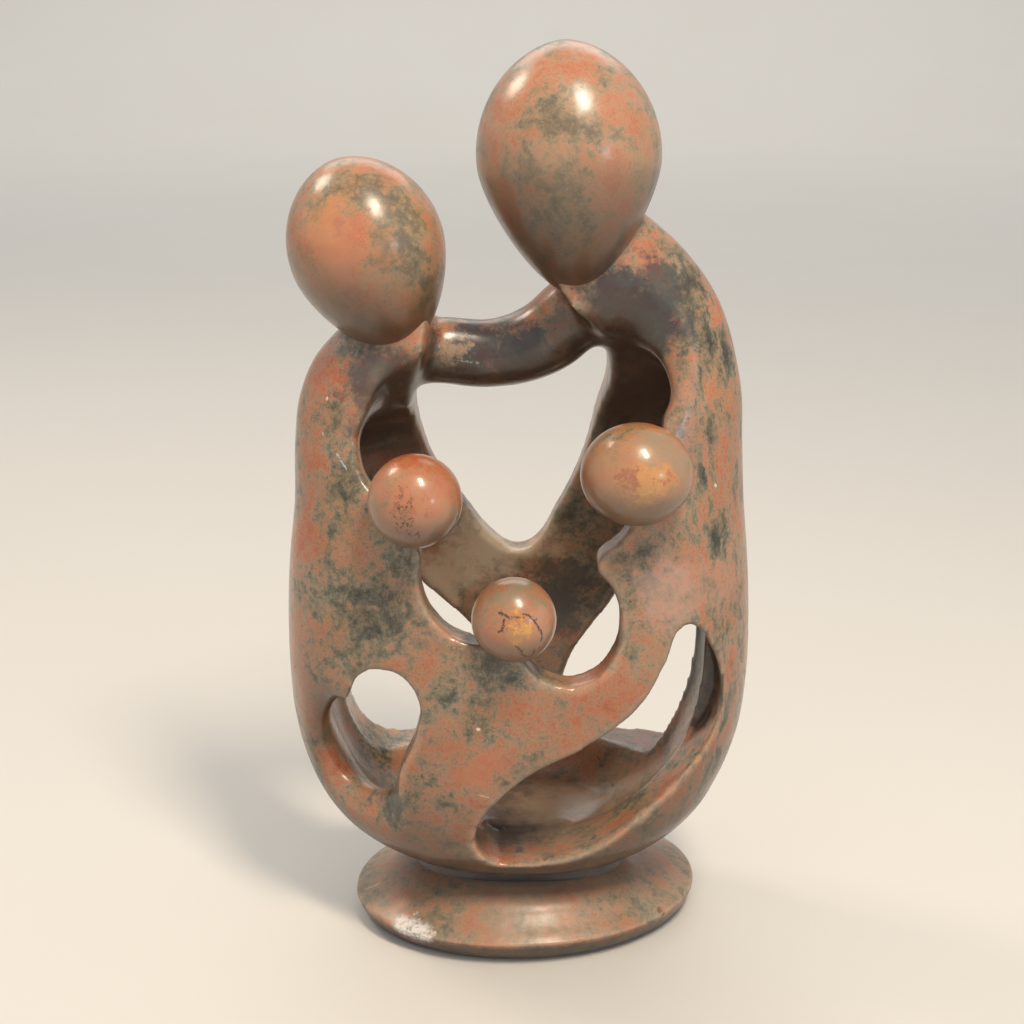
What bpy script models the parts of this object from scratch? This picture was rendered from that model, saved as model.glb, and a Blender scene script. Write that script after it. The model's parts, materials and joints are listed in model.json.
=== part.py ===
# A family group carved from one block of mottled stone: two tall parents with
# egg-shaped heads lean together over three round children's heads, above a low base.
# The body is a hollow, bowl-footed form. Its front and back sheets are pierced by
# rounded windows, and one arm joins the parents' shoulders.
#
# Metres, +Z up, the front facing -Y. The origin is the centre of the base's underside.

import math

import bmesh
import bpy
import numpy as np
from mathutils import Euler, Matrix, Vector

# The body, from the bowl's underside to the taller parent's neck.
BODY_HEIGHT = 0.226
BODY_WIDTH = 0.158
BODY_DEPTH = 0.091
SQUARENESS = 2.4

# Walls that the carver left round the hollow.
LEFT_WALL = 0.0105
RIGHT_WALL = 0.0132
SHEET_WALL = 0.0125
FLOOR = 0.0105

# The base and the short stem that carries the bowl. The base stands a little further
# back than the body, and its front swells to the left.
BASE_WIDTH = 0.1205
BASE_DEPTH = 0.096
BASE_HEIGHT = 0.020
BASE_BACK = 0.005
BASE_RIGHT = 0.0015
BASE_SKEW = 0.10
STEM_WIDTH = 0.072
STEM_DEPTH = 0.046
STEM_HEIGHT = 0.006
STEM_BURIED = 0.004

# The heads. The parents' are eggs: length, width, how much wider at the crown, and how
# sharp their profile is against an ellipse, which is 2. They nod forward together, and
# their centres rise above the neck by a share of their length.
FATHER_HEAD_LENGTH = 0.078
FATHER_HEAD_WIDTH = 0.0586
FATHER_HEAD_TAPER = 0.224
FATHER_HEAD_PROFILE = 1.70
FATHER_HEAD_LEAN = math.radians(-2.9)
MOTHER_HEAD_LENGTH = 0.0634
MOTHER_HEAD_WIDTH = 0.0499
MOTHER_HEAD_TAPER = 0.14
MOTHER_HEAD_PROFILE = 1.80
MOTHER_HEAD_LEAN = math.radians(-21)
NOD = math.radians(-8)
FATHER_HEAD_RISE = 0.101
MOTHER_HEAD_RISE = 0.224
LEFT_CHILD_RADIUS = 0.0147
MIDDLE_CHILD_RADIUS = 0.0134
RIGHT_CHILD_RADIUS = 0.0165

# The arm that joins the parents, at its middle.
ARM_THICKNESS = 0.0225

# How finely the stone is cut, and how far its edges are rubbed down.
FIGURE_HEIGHT = BASE_HEIGHT + STEM_HEIGHT + BODY_HEIGHT
CHISEL = FIGURE_HEIGHT / 185
RUBBING_PASSES = 5
KEPT_FACES = 0.029
SCOOP_SIDES = 64
HEAD_SIDES = 28
CHILD_SIDES = 20
BASE_SIDES = 56

HALF_WIDTH = BODY_WIDTH / 2
HALF_DEPTH = BODY_DEPTH / 2
BODY_BOTTOM = BASE_HEIGHT + STEM_HEIGHT
CLEAR = BODY_DEPTH

# Horizontal sections of the body: share of its height, then its left edge, right edge
# and half depth as shares of half the width and half the depth.
BODY_SECTIONS = (
    (0.000, -0.30, 0.32, 0.50),
    (0.010, -0.50, 0.50, 0.72),
    (0.024, -0.62, 0.60, 0.80),
    (0.045, -0.73, 0.69, 0.87),
    (0.080, -0.83, 0.79, 0.93),
    (0.133, -0.92, 0.875, 0.98),
    (0.204, -0.98, 0.945, 1.00),
    (0.292, -1.00, 0.975, 1.00),
    (0.380, -1.00, 0.975, 0.98),
    (0.469, -0.985, 0.960, 0.935),
    (0.558, -0.955, 0.935, 0.87),
    (0.646, -0.945, 0.920, 0.78),
    (0.717, -0.915, 0.91, 0.68),
    (0.770, -0.845, 0.88, 0.59),
    (0.814, -0.73, 0.845, 0.52),
    (0.858, -0.61, 0.79, 0.45),
    (0.903, -0.51, 0.70, 0.39),
    (0.947, -0.38, 0.575, 0.34),
    (0.982, -0.20, 0.42, 0.29),
    (1.000, 0.00, 0.25, 0.24),
)

# Where the hollow closes below the necks: share of the body's height, then how far its
# left and right edges have closed towards the middle, and where its back face stands,
# from 1 against the back sheet to -1 against the front sheet.
HOLLOW_ROOF = (
    (0.560, 0.00, 0.00, 1.00),
    (0.620, 0.00, 0.00, 0.95),
    (0.660, 0.10, 0.00, 0.80),
    (0.700, 0.50, 0.00, 0.50),
    (0.740, 0.95, 0.05, 0.10),
    (0.780, 1.15, 0.25, -0.35),
    (0.800, 1.25, 0.45, -0.60),
)

# Hollows under the chins, where the chest falls back to the rear sheet: share of the
# body's height, left edge, right edge, and how far back they reach.
UNDER_FATHER = (
    (0.600, 0.25, 0.60, 0.60),
    (0.640, 0.28, 0.56, 0.46),
    (0.680, 0.29, 0.56, 0.26),
    (0.725, 0.27, 0.58, 0.04),
    (0.770, 0.26, 0.57, -0.15),
    (0.814, 0.27, 0.53, -0.29),
    (0.858, 0.28, 0.49, -0.38),
    (0.890, 0.29, 0.46, -0.44),
)
UNDER_MOTHER = (
    (0.600, -0.60, -0.40, 0.45),
    (0.630, -0.64, -0.40, 0.27),
    (0.665, -0.65, -0.39, 0.05),
    (0.695, -0.63, -0.38, -0.14),
    (0.726, -0.61, -0.37, -0.29),
    (0.755, -0.59, -0.36, -0.39),
    (0.785, -0.56, -0.35, -0.46),
    (0.815, -0.53, -0.34, -0.50),
)

# Outlines of what is cut through, as points round each opening: across the body as a
# share of its half width, and up it as a share of its height.
BETWEEN_PARENTS = (
    (-0.456, 0.690),
    (-0.428, 0.619),
    (-0.376, 0.570),
    (-0.266, 0.512),
    (-0.100, 0.439),
    (-0.018, 0.424),
    (0.064, 0.437),
    (0.154, 0.490),
    (0.264, 0.576),
    (0.327, 0.667),
    (0.368, 0.745),
    (0.300, 0.810),
    (0.180, 0.860),
    (0.080, 0.930),
    (0.040, 1.060),
    (-0.420, 1.060),
    (-0.400, 0.900),
    (-0.370, 0.820),
)
FRONT_OPENING = (
    (-0.660, 0.672),
    (-0.640, 0.650),
    (-0.591, 0.632),
    (-0.480, 0.580),
    (-0.407, 0.524),
    (-0.402, 0.465),
    (-0.323, 0.417),
    (-0.211, 0.396),
    (-0.049, 0.388),
    (0.094, 0.341),
    (0.257, 0.336),
    (0.366, 0.371),
    (0.396, 0.420),
    (0.365, 0.468),
    (0.298, 0.505),
    (0.410, 0.545),
    (0.503, 0.625),
    (0.556, 0.690),
    (0.590, 0.735),
    (0.500, 0.760),
    (0.200, 0.740),
    (-0.200, 0.680),
    (-0.480, 0.690),
)
FRONT_LEFT_WINDOW = (
    (-0.696, 0.316),
    (-0.652, 0.339),
    (-0.566, 0.349),
    (-0.477, 0.338),
    (-0.414, 0.296),
    (-0.428, 0.263),
    (-0.449, 0.237),
    (-0.492, 0.205),
    (-0.540, 0.170),
    (-0.640, 0.190),
    (-0.700, 0.250),
)
FRONT_RIGHT_WINDOW = (
    (0.659, 0.408),
    (0.708, 0.404),
    (0.780, 0.367),
    (0.830, 0.313),
    (0.832, 0.274),
    (0.785, 0.225),
    (0.659, 0.172),
    (0.496, 0.120),
    (0.288, 0.066),
    (0.036, 0.042),
    (-0.133, 0.048),
    (-0.190, 0.075),
    (-0.183, 0.107),
    (-0.132, 0.140),
    (0.034, 0.196),
    (0.281, 0.243),
    (0.484, 0.298),
    (0.582, 0.356),
)
BACK_LEFT_WINDOW = (
    (-0.790, 0.230),
    (-0.770, 0.174),
    (-0.665, 0.124),
    (-0.524, 0.108),
    (-0.300, 0.125),
    (-0.130, 0.180),
    (-0.150, 0.255),
    (-0.232, 0.297),
    (-0.434, 0.367),
    (-0.633, 0.437),
    (-0.740, 0.420),
    (-0.790, 0.330),
)
BACK_RIGHT_WINDOW = (
    (0.203, 0.215),
    (0.200, 0.150),
    (0.329, 0.117),
    (0.613, 0.115),
    (0.745, 0.128),
    (0.815, 0.170),
    (0.836, 0.230),
    (0.834, 0.310),
    (0.820, 0.390),
    (0.770, 0.475),
    (0.700, 0.490),
    (0.622, 0.455),
    (0.413, 0.342),
)


def place(across, up, back=0.0):
    """A point of the body, from shares of its half width, height and half depth."""
    return Vector((across * HALF_WIDTH, back * HALF_DEPTH, BODY_BOTTOM + up * BODY_HEIGHT))


def read_table(table, at):
    """The row at one height, on a smooth curve through the rows of a table."""
    rows = np.array(table)
    heights, values = rows[:, 0], rows[:, 1:]
    slopes = np.gradient(values, heights, axis=0)
    i = int(np.clip(np.searchsorted(heights, at) - 1, 0, len(heights) - 2))
    step = heights[i + 1] - heights[i]
    t = min(max((at - heights[i]) / step, 0.0), 1.0)
    return (
        (2 * t**3 - 3 * t**2 + 1) * values[i]
        + (t**3 - 2 * t**2 + t) * step * slopes[i]
        + (3 * t**2 - 2 * t**3) * values[i + 1]
        + (t**3 - t**2) * step * slopes[i + 1]
    )


def new_object(name, mesh, collection):
    made = bpy.data.objects.new(name, mesh)
    collection.objects.link(made)
    return made


def loft(name, rings, collection, squareness=SQUARENESS, around=SCOOP_SIDES):
    """A closed form through horizontal rings of (height, left, right, half depth, y)."""
    shape = bmesh.new()
    loops = []
    for height, left, right, depth, middle in rings:
        loop = []
        for k in range(around):
            turn = 2 * math.pi * k / around
            c, s = math.cos(turn), math.sin(turn)
            x = (left + right) / 2 + (right - left) / 2 * math.copysign(abs(c) ** (2 / squareness), c)
            y = middle + depth * math.copysign(abs(s) ** (2 / squareness), s)
            loop.append(shape.verts.new((x, y, height)))
        loops.append(loop)
    for lower, upper in zip(loops, loops[1:]):
        for k in range(around):
            n = (k + 1) % around
            shape.faces.new((lower[k], lower[n], upper[n], upper[k]))
    shape.faces.new(loops[0][::-1])
    shape.faces.new(loops[-1])
    bmesh.ops.triangulate(shape, faces=shape.faces)
    mesh = bpy.data.meshes.new(name)
    shape.to_mesh(mesh)
    shape.free()
    return new_object(name, mesh, collection)


def outer_edges(up):
    """The body's left edge, right edge and half depth at a share of its height, in metres."""
    left, right, depth = read_table(BODY_SECTIONS, up)
    return left * HALF_WIDTH, right * HALF_WIDTH, depth * HALF_DEPTH


def body_form(collection):
    ups = np.linspace(0, 1, 61) ** 1.3
    rings = [(BODY_BOTTOM + up * BODY_HEIGHT, *outer_edges(up), 0.0) for up in ups]
    return loft("family_group", rings, collection)


def hollow_form(collection):
    """The hollow: the outer form drawn in by the walls, and closed under the necks."""
    rings = []
    for up in np.linspace(0.055, HOLLOW_ROOF[-1][0], 50):
        left, right, depth = outer_edges(up - (1 - up) * FLOOR / BODY_HEIGHT)
        left_close, right_close, back = read_table(HOLLOW_ROOF, up)
        left, right, depth = left + LEFT_WALL, right - RIGHT_WALL, depth - SHEET_WALL
        middle = (left + right) / 2
        left += left_close * (middle - left)
        right += right_close * (middle - right)
        rings.append(
            (BODY_BOTTOM + up * BODY_HEIGHT, left, right, depth * (1 + back) / 2, depth * (back - 1) / 2)
        )
    return loft("hollow", rings, collection)


def chin_hollow(name, table, collection):
    """A tongue cut from the front whose back face leans forward to the chest."""
    rings = []
    for up in np.linspace(table[0][0], table[-1][0], 24):
        left, right, back = read_table(table, up)
        front, back = -1.3 * HALF_DEPTH, back * HALF_DEPTH
        rings.append(
            (
                BODY_BOTTOM + up * BODY_HEIGHT,
                left * HALF_WIDTH,
                right * HALF_WIDTH,
                (back - front) / 2,
                (front + back) / 2,
            )
        )
    return loft(name, rings, collection)


def as_mesh(made):
    """The object with its curve turned into a closed mesh."""
    graph = bpy.context.evaluated_depsgraph_get()
    graph.update()
    mesh = bpy.data.meshes.new_from_object(made.evaluated_get(graph))
    shape = bmesh.new()
    shape.from_mesh(mesh)
    bmesh.ops.remove_doubles(shape, verts=shape.verts, dist=1e-6)
    bmesh.ops.recalc_face_normals(shape, faces=shape.faces)
    bmesh.ops.triangulate(shape, faces=shape.faces)
    shape.to_mesh(mesh)
    shape.free()
    solid = new_object(made.name + "_solid", mesh, made.users_collection[0])
    solid.matrix_world = made.matrix_world
    name = made.name
    bpy.data.objects.remove(made)
    solid.name = name
    return solid


def window_cutter(name, outline, front, back, collection):
    """A prism through a smooth outline, from one depth of the body to another, in metres."""
    curve = bpy.data.curves.new(name, "CURVE")
    curve.dimensions = "2D"
    curve.fill_mode = "BOTH"
    curve.resolution_u = 6
    curve.extrude = (back - front) / 2
    spline = curve.splines.new("BEZIER")
    spline.bezier_points.add(len(outline) - 1)
    for point, (across, up) in zip(spline.bezier_points, outline):
        spot = place(across, up)
        point.co = (spot.x, spot.z, 0)
        point.handle_left_type = point.handle_right_type = "AUTO"
    spline.use_cyclic_u = True
    cutter = new_object(name, curve, collection)
    cutter.rotation_euler = (math.pi / 2, 0, 0)
    cutter.location = (0, (front + back) / 2, 0)
    bpy.context.view_layer.update()
    return as_mesh(cutter)


def rounded(name, place_it, profile, taper, sides, collection):
    """A ball, an ellipsoid or an egg: a sphere reshaped, then put in place by a matrix."""
    bpy.ops.mesh.primitive_uv_sphere_add(segments=sides, ring_count=2 * sides // 3, radius=1)
    made = bpy.context.object
    made.name = name
    for vertex in made.data.vertices:
        x, y, z = vertex.co
        reach = (math.hypot(x, y) ** profile + abs(z) ** profile) ** (-1 / profile)
        fullness = 1 + taper * z * reach
        vertex.co = (x * reach * fullness, y * reach * fullness, z * reach)
    made.data.transform(place_it)
    for old in list(made.users_collection):
        old.objects.unlink(made)
    collection.objects.link(made)
    return made


def scoop(name, centre, radii, collection):
    """An ellipsoid to cut with. Its radii are shares of the body's half width, half depth, height."""
    across, back, up = radii
    size = Matrix.Diagonal((across * HALF_WIDTH, back * HALF_DEPTH, up * BODY_HEIGHT, 1))
    return rounded(name, Matrix.Translation(centre) @ size, 2.0, 0.0, SCOOP_SIDES, collection)


def egg_head(name, neck, rise, lean, length, width, profile, taper, collection):
    """An egg above its neck, crown up, nodded forward and leaned sideways."""
    fullest = max(math.cos(turn) * (1 + taper * math.sin(turn)) for turn in np.linspace(0, 1, 50))
    across = width / 2 / fullest
    turned = Euler((NOD, lean, 0)).to_matrix()
    centre = neck + turned @ Vector((0, 0, rise * length))
    size = Matrix.Diagonal((across, across, length / 2, 1))
    stand = Matrix.Translation(centre) @ turned.to_4x4()
    return rounded(name, stand @ size, profile, taper, HEAD_SIDES, collection)


def child_head(name, rim, reach, radius, spread, collection):
    """A ball that holds a point of the rim inside it: reach is in radii, and under 1 long."""
    centre = rim + radius * Vector(reach)
    size = Matrix.Diagonal((*(radius * Vector(spread)), 1))
    return rounded(name, Matrix.Translation(centre) @ size, 2.0, 0.0, CHILD_SIDES, collection)


def arm(collection):
    """The arm across the parents' shoulders, a tube that thickens towards the father."""
    path = (
        (-0.66, 0.755, 0.05, 0.85),
        (-0.36, 0.772, 0.05, 0.97),
        (-0.11, 0.768, 0.08, 1.00),
        (0.08, 0.788, 0.08, 1.08),
        (0.24, 0.832, 0.05, 1.13),
        (0.45, 0.870, 0.00, 1.30),
    )
    curve = bpy.data.curves.new("arm", "CURVE")
    curve.dimensions = "3D"
    curve.bevel_depth = ARM_THICKNESS / 2
    curve.bevel_resolution = 6
    curve.use_fill_caps = True
    curve.resolution_u = 8
    spline = curve.splines.new("BEZIER")
    spline.bezier_points.add(len(path) - 1)
    for point, (across, up, back, thickness) in zip(spline.bezier_points, path):
        point.co = place(across, up, back)
        point.radius = thickness
        point.handle_left_type = point.handle_right_type = "AUTO"
    return as_mesh(new_object("arm", curve, collection))


def base_form(collection):
    """The base slab with its domed top."""
    profile = (
        (0.00, 0.900),
        (0.04, 0.935),
        (0.16, 0.985),
        (0.30, 1.000),
        (0.40, 0.988),
        (0.47, 0.955),
        (0.60, 0.875),
        (0.76, 0.770),
        (0.90, 0.670),
        (1.00, 0.560),
    )
    rings = []
    for up, share in profile:
        half_width, half_depth = share * BASE_WIDTH / 2, share * BASE_DEPTH / 2
        left, right = BASE_RIGHT - half_width, BASE_RIGHT + half_width
        rings.append((up * BASE_HEIGHT, left, right, half_depth, BASE_BACK * (1 - up)))
    base = loft("base", rings, collection, squareness=2.05, around=BASE_SIDES)
    for vertex in base.data.vertices:
        vertex.co.x += BASE_SKEW * vertex.co.y
    return base


def stem_form(collection):
    rings = []
    foot, head = -STEM_BURIED, STEM_HEIGHT + STEM_BURIED
    for up, share in ((foot, 1.06), (0, 1.0), (STEM_HEIGHT, 1.0), (head, 1.06)):
        half_width, half_depth = share * STEM_WIDTH / 2, share * STEM_DEPTH / 2
        rings.append((BASE_HEIGHT + up, -half_width, half_width, half_depth, 0.0))
    return loft("stem", rings, collection)


def stone(name):
    material = bpy.data.materials.new(name)
    material.use_nodes = True
    shader = material.node_tree.nodes["Principled BSDF"]
    shader.inputs["Base Color"].default_value = (0.30, 0.17, 0.11, 1)
    shader.inputs["Roughness"].default_value = 0.30
    shader.inputs["Metallic"].default_value = 0.0
    return material


def carve(body, tools, operation):
    for tool in tools:
        tool.display_type = "WIRE"
        tool.hide_render = True
        cut = body.modifiers.new(tool.name, "BOOLEAN")
        cut.operation = operation
        cut.object = tool
        cut.solver = "EXACT"


def main():
    for old in list(bpy.data.objects):
        bpy.data.objects.remove(old)
    group = bpy.data.collections.new("family_group")
    tools = bpy.data.collections.new("carving_shapes")
    for collection in (group, tools):
        bpy.context.scene.collection.children.link(collection)

    body = body_form(group)
    sheet = 0.4 * (HALF_DEPTH - SHEET_WALL)
    cuts = (
        hollow_form(tools),
        window_cutter("between_parents", BETWEEN_PARENTS, -CLEAR, CLEAR, tools),
        window_cutter("front_opening", FRONT_OPENING, -CLEAR, -sheet / 2, tools),
        window_cutter("front_left_window", FRONT_LEFT_WINDOW, -CLEAR, -sheet, tools),
        window_cutter("front_right_window", FRONT_RIGHT_WINDOW, -CLEAR, -sheet, tools),
        window_cutter("back_left_window", BACK_LEFT_WINDOW, sheet, CLEAR, tools),
        window_cutter("back_right_window", BACK_RIGHT_WINDOW, sheet, CLEAR, tools),
        chin_hollow("under_father", UNDER_FATHER, tools),
        chin_hollow("under_mother", UNDER_MOTHER, tools),
        scoop("father_chest", place(0.44, 0.815, -1.36), (0.544, 1.011, 0.212), tools),
        scoop("mother_chest", place(-0.46, 0.735, -1.42), (0.456, 0.945, 0.204), tools),
        scoop("left_roll", place(-0.722, 0.195, -1.12), (0.225, 0.879, 0.104), tools),
    )
    carve(body, cuts, "DIFFERENCE")
    carve(body, (arm(tools), stem_form(tools)), "UNION")
    remesh = body.modifiers.new("one_stone", "REMESH")
    remesh.mode = "VOXEL"
    remesh.voxel_size = CHISEL
    rubbed = body.modifiers.new("rubbed_edges", "SMOOTH")
    rubbed.factor = 0.5
    rubbed.iterations = RUBBING_PASSES

    fewer = body.modifiers.new("fewer_faces", "DECIMATE")
    fewer.ratio = KEPT_FACES

    father_neck = place(0.191, 1.0, -0.184)
    mother_neck = place(-0.549, 0.856, -0.203)
    heads = (
        egg_head("father_head", father_neck, FATHER_HEAD_RISE, FATHER_HEAD_LEAN, FATHER_HEAD_LENGTH,
                 FATHER_HEAD_WIDTH, FATHER_HEAD_PROFILE, FATHER_HEAD_TAPER, tools),
        egg_head("mother_head", mother_neck, MOTHER_HEAD_RISE, MOTHER_HEAD_LEAN, MOTHER_HEAD_LENGTH,
                 MOTHER_HEAD_WIDTH, MOTHER_HEAD_PROFILE, MOTHER_HEAD_TAPER, tools),
        child_head("left_child", place(-0.480, 0.580, -0.71), (0.31, -0.52, 0.31),
                   LEFT_CHILD_RADIUS, (1, 1, 1), tools),
        child_head("middle_child", place(-0.033, 0.378, -0.87), (0, -0.31, 0.93),
                   MIDDLE_CHILD_RADIUS, (1, 1, 1), tools),
        child_head("right_child", place(0.500, 0.620, -0.70), (-0.25, -0.44, 0.24),
                   RIGHT_CHILD_RADIUS, (1.06, 1, 0.97), tools),
    )
    carve(body, (base_form(tools),) + heads, "UNION")
    body.data.materials.append(stone("mottled_stone"))


main()
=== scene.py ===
# Family group in polished mottled stone: finished surfaces, materials, floor and light.
import json
import math

import bmesh
import bpy
import numpy as np
from mathutils import Euler, Matrix, Vector, noise

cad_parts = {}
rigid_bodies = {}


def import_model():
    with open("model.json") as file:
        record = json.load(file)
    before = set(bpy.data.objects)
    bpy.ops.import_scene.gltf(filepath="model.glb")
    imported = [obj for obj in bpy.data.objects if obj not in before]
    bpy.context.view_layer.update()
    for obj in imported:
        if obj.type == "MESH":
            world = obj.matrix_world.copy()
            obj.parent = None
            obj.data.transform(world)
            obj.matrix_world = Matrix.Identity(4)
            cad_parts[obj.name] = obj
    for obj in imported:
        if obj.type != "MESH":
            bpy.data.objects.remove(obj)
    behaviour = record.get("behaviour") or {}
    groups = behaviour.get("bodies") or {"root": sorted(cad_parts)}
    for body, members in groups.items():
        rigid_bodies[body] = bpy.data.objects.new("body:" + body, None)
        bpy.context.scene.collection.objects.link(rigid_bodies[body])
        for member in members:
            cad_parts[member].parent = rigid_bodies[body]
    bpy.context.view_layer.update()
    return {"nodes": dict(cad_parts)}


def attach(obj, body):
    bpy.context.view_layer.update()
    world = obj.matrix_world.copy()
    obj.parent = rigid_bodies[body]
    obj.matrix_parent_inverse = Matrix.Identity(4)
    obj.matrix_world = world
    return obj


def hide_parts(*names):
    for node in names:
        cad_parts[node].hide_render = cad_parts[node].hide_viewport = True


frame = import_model()
scene = bpy.context.scene
print("frame loaded:", sorted(frame["nodes"]))

workShapes = bpy.data.collections.new("carving_shapes")  # cutters, thrown away once used
scene.collection.children.link(workShapes)


# Sizes of the carved body, in metres, and how finely it is cut and rubbed down.
body = {
    "height": 0.226, "width": 0.158, "depth": 0.091, "squareness": 2.4,
    "leftWall": 0.0105, "rightWall": 0.0132, "sheetWall": 0.0125, "floor": 0.0105,
    "arm": 0.0225, "voxel": 0.00128, "rubbing": 6, "softening": 50, "rolling": 220,
}
base = {
    "width": 0.1205, "depth": 0.096, "height": 0.020, "back": 0.005, "right": 0.0015,
    "skew": 0.10, "squareness": 2.05, "around": 420, "rows": 90,
}
stem = {"width": 0.072, "depth": 0.046, "height": 0.006, "buried": 0.004}
bodyFoot = base["height"] + stem["height"]
clear = body["depth"]  # far enough to cut right through

# places of marks are given in millimetres
mm = 0.001

# height share, left edge, right edge, half depth
bodySections = (
    (0.000, -0.30, 0.32, 0.50), (0.010, -0.50, 0.50, 0.72), (0.024, -0.62, 0.60, 0.80),
    (0.045, -0.73, 0.69, 0.87), (0.080, -0.83, 0.79, 0.93), (0.133, -0.92, 0.875, 0.98),
    (0.204, -0.98, 0.945, 1.00), (0.292, -1.00, 0.975, 1.00), (0.380, -1.00, 0.975, 0.98),
    (0.469, -0.985, 0.960, 0.935), (0.558, -0.955, 0.935, 0.87), (0.646, -0.945, 0.920, 0.78),
    (0.717, -0.915, 0.91, 0.68), (0.770, -0.845, 0.88, 0.59), (0.814, -0.73, 0.845, 0.52),
    (0.858, -0.61, 0.79, 0.45), (0.903, -0.51, 0.70, 0.39), (0.947, -0.38, 0.575, 0.34),
    (0.982, -0.20, 0.42, 0.29), (1.000, 0.00, 0.25, 0.24),
)
# height share, left close, right close, place of the back face
hollowRoof = (
    (0.560, 0.00, 0.00, 1.00), (0.620, 0.00, 0.00, 0.95), (0.660, 0.10, 0.00, 0.80),
    (0.700, 0.50, 0.00, 0.50), (0.740, 0.95, 0.05, 0.10), (0.780, 1.15, 0.25, -0.35),
    (0.800, 1.25, 0.45, -0.60),
)
# height share, left edge, right edge, how far back
underFather = (
    (0.600, 0.25, 0.60, 0.60), (0.640, 0.28, 0.56, 0.46), (0.680, 0.29, 0.56, 0.26),
    (0.725, 0.27, 0.58, 0.04), (0.770, 0.26, 0.57, -0.15), (0.814, 0.27, 0.53, -0.29),
    (0.858, 0.28, 0.49, -0.38), (0.890, 0.29, 0.46, -0.44),
)
underMother = (
    (0.600, -0.60, -0.40, 0.45), (0.630, -0.64, -0.40, 0.27), (0.665, -0.65, -0.39, 0.05),
    (0.695, -0.63, -0.38, -0.14), (0.726, -0.61, -0.37, -0.29), (0.755, -0.59, -0.36, -0.39),
    (0.785, -0.56, -0.35, -0.46), (0.815, -0.53, -0.34, -0.50),
)
# outlines that are cut through: across and up, as shares of the body
openings = {
    "betweenParents": (
        (-0.456, 0.690), (-0.428, 0.619), (-0.376, 0.570), (-0.266, 0.512), (-0.100, 0.439),
        (-0.018, 0.424), (0.064, 0.437), (0.154, 0.490), (0.264, 0.576), (0.327, 0.667),
        (0.368, 0.745), (0.300, 0.810), (0.180, 0.860), (0.080, 0.930), (0.040, 1.060),
        (-0.420, 1.060), (-0.400, 0.900), (-0.370, 0.820)),
    "frontOpening": (
        (-0.660, 0.672), (-0.640, 0.650), (-0.591, 0.632), (-0.480, 0.580), (-0.407, 0.524),
        (-0.402, 0.465), (-0.323, 0.417), (-0.211, 0.396), (-0.049, 0.388), (0.094, 0.341),
        (0.257, 0.336), (0.366, 0.371), (0.396, 0.420), (0.365, 0.468), (0.298, 0.505),
        (0.410, 0.545), (0.503, 0.625), (0.556, 0.690), (0.590, 0.735), (0.500, 0.760),
        (0.200, 0.740), (-0.200, 0.680), (-0.480, 0.690)),
    "frontLeftWindow": (
        (-0.696, 0.316), (-0.652, 0.339), (-0.566, 0.349), (-0.477, 0.338), (-0.414, 0.296),
        (-0.428, 0.263), (-0.449, 0.237), (-0.492, 0.205), (-0.540, 0.170), (-0.640, 0.190),
        (-0.700, 0.250)),
    "frontRightWindow": (
        (0.659, 0.408), (0.708, 0.404), (0.780, 0.367), (0.830, 0.313), (0.832, 0.274),
        (0.785, 0.225), (0.659, 0.172), (0.496, 0.120), (0.288, 0.066), (0.036, 0.042),
        (-0.133, 0.048), (-0.190, 0.075), (-0.183, 0.107), (-0.132, 0.140), (0.034, 0.196),
        (0.281, 0.243), (0.484, 0.298), (0.582, 0.356)),
    "backLeftWindow": (
        (-0.790, 0.230), (-0.770, 0.174), (-0.665, 0.124), (-0.524, 0.108), (-0.300, 0.125),
        (-0.130, 0.180), (-0.150, 0.255), (-0.232, 0.297), (-0.434, 0.367), (-0.633, 0.437),
        (-0.740, 0.420), (-0.790, 0.330)),
    "backRightWindow": (
        (0.203, 0.215), (0.200, 0.150), (0.329, 0.117), (0.613, 0.115), (0.745, 0.128),
        (0.815, 0.170), (0.836, 0.230), (0.834, 0.310), (0.820, 0.390), (0.770, 0.475),
        (0.700, 0.490), (0.622, 0.455), (0.413, 0.342)),
}
# across, up, back, thickness
armPath = (
    (-0.66, 0.755, 0.05, 0.85), (-0.36, 0.772, 0.05, 0.97), (-0.11, 0.768, 0.08, 1.00),
    (0.08, 0.788, 0.08, 1.08), (0.24, 0.832, 0.05, 1.13), (0.45, 0.870, 0.00, 1.30),
)


def place(across, up, back=0.0):  # a point of the body from its shares
    return Vector((across * body["width"] / 2, back * body["depth"] / 2, bodyFoot + up * body["height"]))


def readTable(table, at):  # a smooth curve through the rows of a table
    rows = np.array(table)
    heights, values = rows[:, 0], rows[:, 1:]
    slopes = np.gradient(values, heights, axis=0)
    i = int(np.clip(np.searchsorted(heights, at) - 1, 0, len(heights) - 2))
    step = heights[i + 1] - heights[i]
    t = min(max((at - heights[i]) / step, 0.0), 1.0)
    return ((2 * t**3 - 3 * t**2 + 1) * values[i] + (t**3 - 2 * t**2 + t) * step * slopes[i]
            + (3 * t**2 - 2 * t**3) * values[i + 1] + (t**3 - t**2) * step * slopes[i + 1])


def newObject(name, mesh, collection=None):
    made = bpy.data.objects.new(name, mesh)
    (collection or scene.collection).objects.link(made)
    return made


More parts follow.
